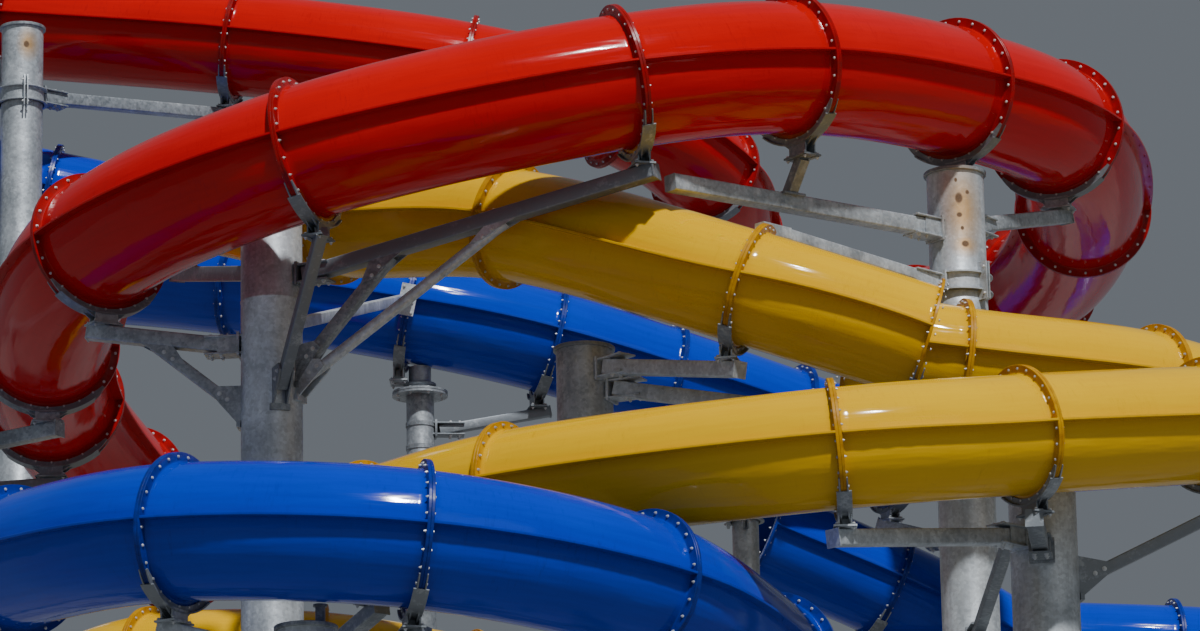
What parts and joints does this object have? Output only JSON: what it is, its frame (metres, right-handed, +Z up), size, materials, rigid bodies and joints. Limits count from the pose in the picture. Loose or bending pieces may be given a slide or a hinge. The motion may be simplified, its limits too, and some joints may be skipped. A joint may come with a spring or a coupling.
{
  "type": "water slide tower",
  "caption": "Closed tube slides in red, yellow and blue, bolted at ring flanges, wind round tall galvanised steel columns with saddle arms.",
  "frame": {"origin": "on the ground under the middle of the tower's outline", "axes": "+Z up, +Y to the back, +X to the right as seen from the front"},
  "size_m": [15.3836, 18.8136, 19.985],
  "materials": {
    "red_fibreglass": "glossy gelcoat, lightly chalked and streaked",
    "yellow_fibreglass": "glossy gelcoat, lightly chalked and streaked",
    "blue_fibreglass": "glossy gelcoat, lightly chalked and streaked",
    "galvanised_steel": "hot-dip galvanised, spangled and dulled, with brown stains"
  },
  "bodies": {
    "root": {"red_upper_tube_1": "red_fibreglass", "red_upper_tube_2": "red_fibreglass", "red_upper_tube_3": "red_fibreglass", "red_loop_tube_1": "red_fibreglass", "red_loop_tube_2": "red_fibreglass", "red_loop_tube_3": "red_fibreglass", "red_loop_tube_4": "red_fibreglass", "red_loop_tube_5": "red_fibreglass", "red_loop_tube_6": "red_fibreglass", "red_loop_tube_7": "red_fibreglass", "red_loop_tube_8": "red_fibreglass", "red_loop_tube_9": "red_fibreglass", "red_loop_tube_10": "red_fibreglass", "red_loop_tube_11": "red_fibreglass", "red_loop_tube_12": "red_fibreglass", "yellow_upper_tube_1": "yellow_fibreglass", "yellow_upper_tube_2": "yellow_fibreglass", "yellow_upper_tube_3": "yellow_fibreglass", "yellow_upper_tube_4": "yellow_fibreglass", "yellow_back_tube_1": "yellow_fibreglass", "yellow_front_tube_1": "yellow_fibreglass", "yellow_front_tube_2": "yellow_fibreglass", "yellow_front_tube_3": "yellow_fibreglass", "yellow_front_tube_4": "yellow_fibreglass", "yellow_front_tube_5": "yellow_fibreglass", "yellow_low_tube_1": "yellow_fibreglass", "blue_far_tube_1": "blue_fibreglass", "blue_back_tube_1": "blue_fibreglass", "blue_back_tube_2": "blue_fibreglass", "blue_back_tube_3": "blue_fibreglass", "blue_low_tube_1": "blue_fibreglass", "blue_right_tube_1": "blue_fibreglass", "blue_front_tube_1": "blue_fibreglass", "blue_front_tube_2": "blue_fibreglass", "blue_front_tube_3": "blue_fibreglass", "blue_front_tube_4": "blue_fibreglass", "blue_front_tube_5": "blue_fibreglass", "blue_front_tube_6": "blue_fibreglass", "left_column": "galvanised_steel", "loop_column": "galvanised_steel", "side_column": "galvanised_steel", "middle_column": "galvanised_steel", "back_column": "galvanised_steel", "right_column": "galvanised_steel", "front_column": "galvanised_steel", "low_column": "galvanised_steel", "blue_column": "galvanised_steel", "rear_column": "galvanised_steel", "turn_column": "galvanised_steel", "end_column": "galvanised_steel", "far_column": "galvanised_steel"}
  },
  "joints": []
}
